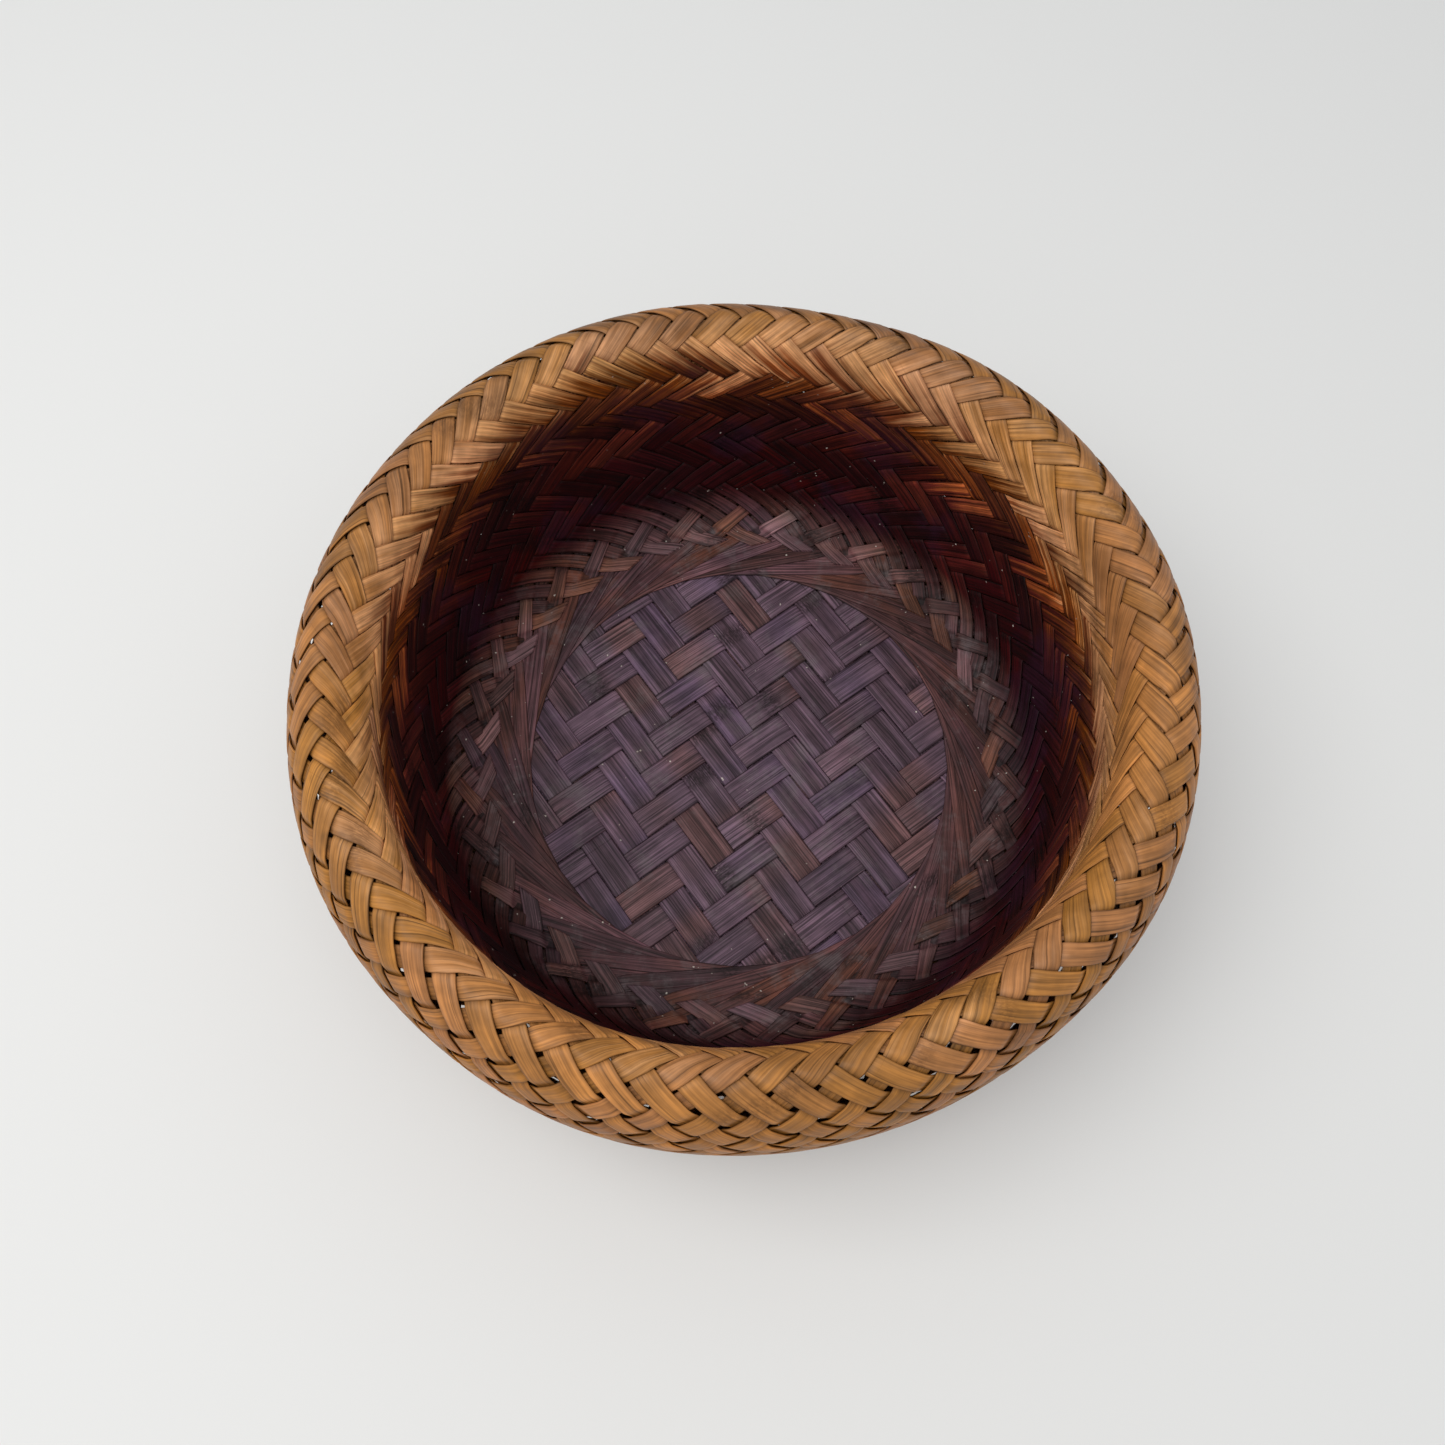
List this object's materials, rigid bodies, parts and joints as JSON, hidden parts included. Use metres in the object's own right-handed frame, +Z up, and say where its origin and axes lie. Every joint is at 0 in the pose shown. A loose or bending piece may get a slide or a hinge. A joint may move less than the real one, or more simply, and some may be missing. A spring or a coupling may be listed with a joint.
{
  "type": "basket",
  "caption": "Round double-walled basket plaited from split bamboo, with a flat twill floor, upright inner wall, rounded rim and bulging outer wall.",
  "frame": {"origin": "middle of the footprint, on the plane the basket rests on", "axes": "+Z is up, along the axis of the round wall; the basket is round, so +X and +Y are taken as right and away for a viewer standing in front"},
  "size_m": [0.33, 0.33, 0.123],
  "materials": {
    "floor_bamboo": "dusky purple-brown split bamboo, matt, with fine lengthwise grain",
    "ring_bamboo": "dusky brown split bamboo, matt, with fine lengthwise grain",
    "dark_bamboo": "very dark red-brown aged split bamboo, slightly satin",
    "rim_bamboo": "caramel brown aged split bamboo, satin, with fine lengthwise grain",
    "pale_bamboo": "light brown split bamboo, matt, with fine lengthwise grain"
  },
  "bodies": {
    "root": {"floor_splint_a_01": "floor_bamboo", "floor_splint_a_02": "floor_bamboo", "floor_splint_a_03": "floor_bamboo", "floor_splint_a_04": "floor_bamboo", "floor_splint_a_05": "floor_bamboo", "floor_splint_a_06": "floor_bamboo", "floor_splint_a_07": "floor_bamboo", "floor_splint_a_08": "floor_bamboo", "floor_splint_a_09": "floor_bamboo", "floor_splint_a_10": "floor_bamboo", "floor_splint_a_11": "floor_bamboo", "floor_splint_a_12": "floor_bamboo", "floor_splint_a_13": "floor_bamboo", "floor_splint_a_14": "floor_bamboo", "floor_splint_a_15": "floor_bamboo", "floor_splint_a_16": "floor_bamboo", "floor_splint_a_17": "floor_bamboo", "floor_splint_b_01": "floor_bamboo", "floor_splint_b_02": "floor_bamboo", "floor_splint_b_03": "floor_bamboo", "floor_splint_b_04": "floor_bamboo", "floor_splint_b_05": "floor_bamboo", "floor_splint_b_06": "floor_bamboo", "floor_splint_b_07": "floor_bamboo", "floor_splint_b_08": "floor_bamboo", "floor_splint_b_09": "floor_bamboo", "floor_splint_b_10": "floor_bamboo", "floor_splint_b_11": "floor_bamboo", "floor_splint_b_12": "floor_bamboo", "floor_splint_b_13": "floor_bamboo", "floor_splint_b_14": "floor_bamboo", "floor_splint_b_15": "floor_bamboo", "floor_splint_b_16": "floor_bamboo", "ring_ends_upper": "ring_bamboo", "ring_ends_lower": "pale_bamboo", "wall_inner": "dark_bamboo", "wall_rim": "rim_bamboo", "wall_outer": "rim_bamboo", "wall_foot": "pale_bamboo"}
  },
  "joints": []
}
